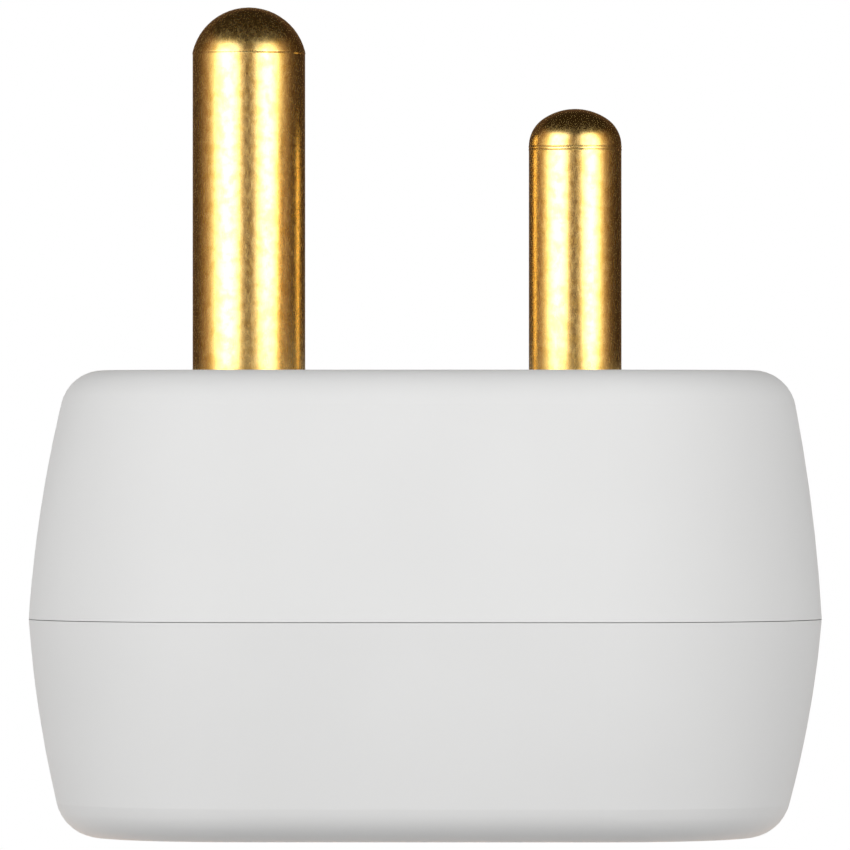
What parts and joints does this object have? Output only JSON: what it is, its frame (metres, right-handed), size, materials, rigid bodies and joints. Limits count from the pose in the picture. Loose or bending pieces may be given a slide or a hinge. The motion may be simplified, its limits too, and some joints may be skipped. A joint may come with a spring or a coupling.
{
  "type": "switched double adapter",
  "caption": "White twin-outlet mains adapter with three round brass plug pins, a rocker switch and shuttered round-pin outlets",
  "frame": {"origin": "centre of the socket face, which is the base it rests on", "axes": "+Z along the plug pins, away from the socket face; +X from the earth pin to the line pins; +Y along the housing, from outlet a to outlet b"},
  "size_m": [0.0586, 0.112, 0.0627],
  "materials": {
    "housing_plastic": "satin moulded white",
    "pin_brass": "turned, lightly scuffed",
    "strip_brass": "stamped",
    "contact_silver": "plain silver",
    "inner_plastic": "moulded",
    "shutter_plastic": "moulded",
    "rocker_plastic": "gloss moulded",
    "steel": "zinc plated"
  },
  "bodies": {
    "housing": {"rear_housing": "housing_plastic", "front_housing": "housing_plastic", "earth_pin": "pin_brass", "live_pin": "pin_brass", "neutral_pin": "pin_brass", "earth_bar": "strip_brass", "neutral_bar": "strip_brass", "live_inlet_bar": "strip_brass", "live_outlet_bar": "strip_brass", "fixed_contact": "contact_silver", "switch_frame": "inner_plastic", "frame_screws": "steel", "housing_screws": "steel", "earth_contact_a": "strip_brass", "live_contact_a": "strip_brass", "neutral_contact_a": "strip_brass", "contact_carrier_a": "inner_plastic", "shutter_spring_a": "steel", "earth_contact_b": "strip_brass", "live_contact_b": "strip_brass", "neutral_contact_b": "strip_brass", "contact_carrier_b": "inner_plastic", "shutter_spring_b": "steel"},
    "rocker": {"rocker": "rocker_plastic", "plunger_spring": "steel"},
    "plunger": {"rocker_plunger": "steel"},
    "blade": {"contact_blade": "strip_brass", "blade_contact": "contact_silver"},
    "shutter_a": {"shutter_a": "shutter_plastic"},
    "shutter_b": {"shutter_b": "shutter_plastic"}
  },
  "joints": [
    {"name": "rocker_tilt", "type": "hinge", "parent": "housing", "child": "rocker", "pos_m": [0, 0, 0.007], "axis": [0, 1, 0], "range_deg": [0, 16]},
    {"name": "plunger_slide", "type": "slide", "parent": "rocker", "child": "plunger", "axis": [0.1392, 0, -0.9903], "range_m": [0, 0.0005], "stiffness_N_per_m": 150, "springref_m": -0.002, "deforming": ["plunger_spring"]},
    {"name": "blade_tilt", "type": "hinge", "parent": "housing", "child": "blade", "pos_m": [0, 0, 0.0195], "axis": [0, 1, 0], "range_deg": [-12, 0]},
    {"name": "shutter_slide_a", "type": "slide", "parent": "housing", "child": "shutter_a", "axis": [1, 0, 0], "range_m": [0, 0.00698], "stiffness_N_per_m": 100, "springref_m": -0.004, "deforming": ["shutter_spring_a"]},
    {"name": "shutter_slide_b", "type": "slide", "parent": "housing", "child": "shutter_b", "axis": [1, 0, 0], "range_m": [0, 0.00698], "stiffness_N_per_m": 100, "springref_m": -0.004, "deforming": ["shutter_spring_b"]}
  ],
  "couplings": [
    {"joint": "blade_tilt", "follows": "rocker_tilt", "ratio": -0.75}
  ]
}
